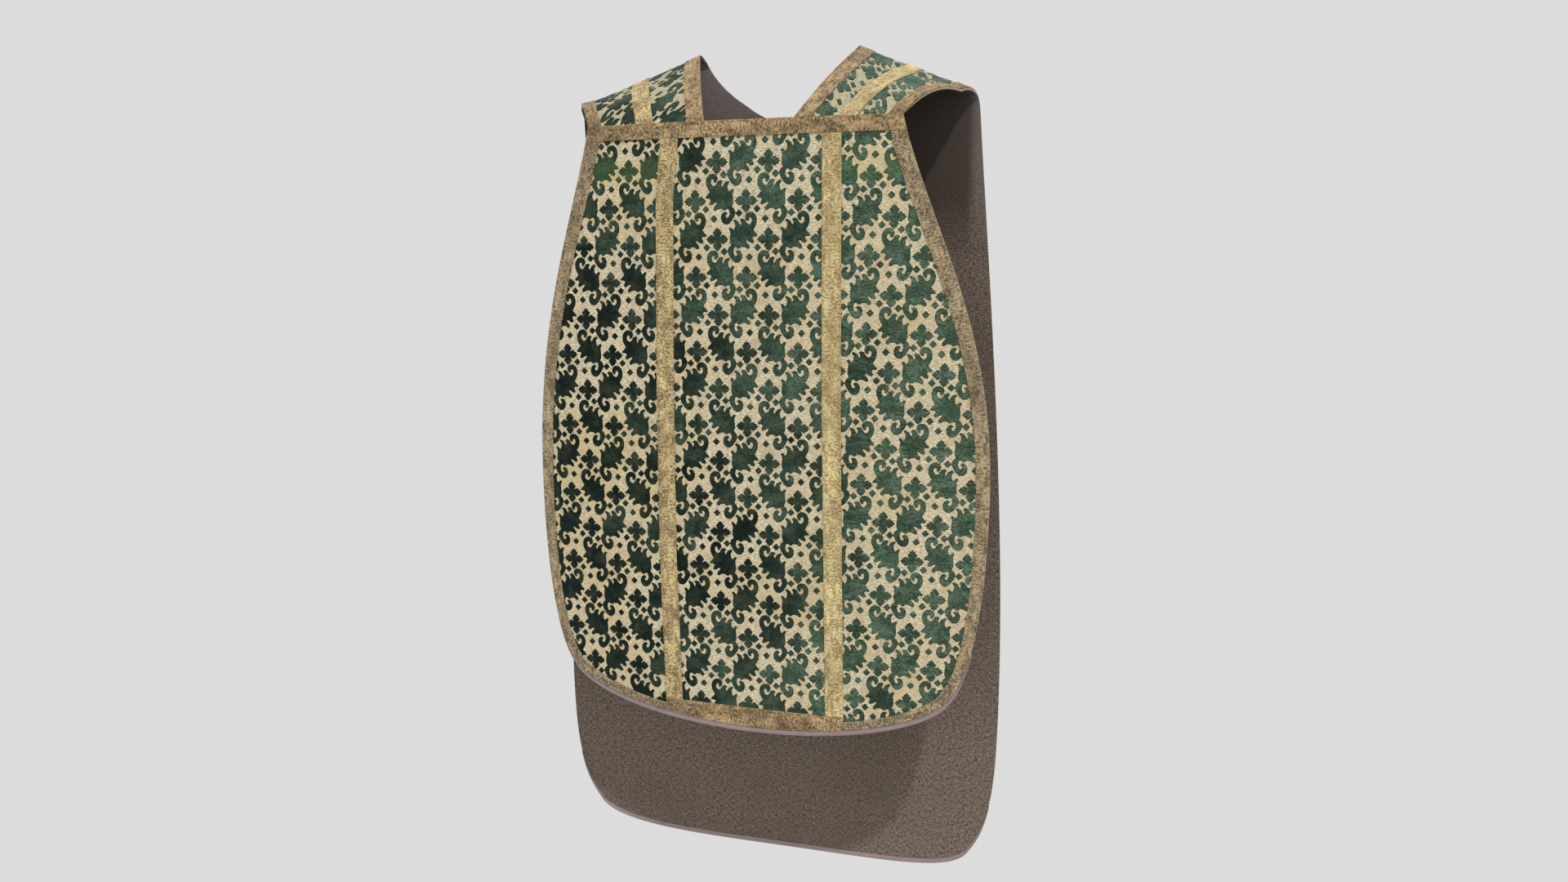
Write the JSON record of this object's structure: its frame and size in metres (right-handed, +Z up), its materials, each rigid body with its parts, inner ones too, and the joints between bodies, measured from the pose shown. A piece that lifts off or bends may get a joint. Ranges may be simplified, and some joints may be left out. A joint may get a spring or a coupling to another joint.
{
  "type": "chasuble",
  "caption": "Fiddleback chasuble in voided velvet with gold galloon, open at both sides, its front panel hung from two shoulder straps.",
  "frame": {"origin": "midway between the shoulder tops, at the line where a hanger or a wearer's shoulders bear", "axes": "+Z up, -Y towards the front panel, +X to the viewer's right when the front is faced"},
  "size_m": [0.63, 0.146, 1.1374],
  "materials": {
    "voided_velvet": "dark green cut pile on a straw-coloured ribbed ground",
    "gold_galloon": "woven metallic gold braid, slightly tarnished",
    "canvas": "stiff natural canvas",
    "linen_lining": "matt brown plain weave",
    "mauve_binding": "matt mauve braid"
  },
  "bodies": {
    "back_and_straps": {"back_centre_velvet": "voided_velvet", "back_left_velvet": "voided_velvet", "back_right_velvet": "voided_velvet", "back_interlining": "canvas", "back_lining": "linen_lining", "back_left_column_galloon": "gold_galloon", "back_right_column_galloon": "gold_galloon", "back_left_side_galloon": "gold_galloon", "back_right_side_galloon": "gold_galloon", "back_hem_galloon": "gold_galloon", "back_neck_galloon": "gold_galloon", "back_hem_binding": "mauve_binding"},
    "front_panel": {"front_centre_velvet": "voided_velvet", "front_left_velvet": "voided_velvet", "front_right_velvet": "voided_velvet", "front_interlining": "canvas", "front_lining": "linen_lining", "front_top_galloon": "gold_galloon", "front_left_column_galloon": "gold_galloon", "front_right_column_galloon": "gold_galloon", "front_left_side_galloon": "gold_galloon", "front_right_side_galloon": "gold_galloon", "front_hem_galloon": "gold_galloon", "front_hem_binding": "mauve_binding"}
  },
  "joints": [
    {"name": "front_panel_swing", "type": "hinge", "parent": "back_and_straps", "child": "front_panel", "pos_m": [0, -0.14, -0.072], "axis": [-1, 0, 0], "range_deg": [-7, 50]}
  ]
}
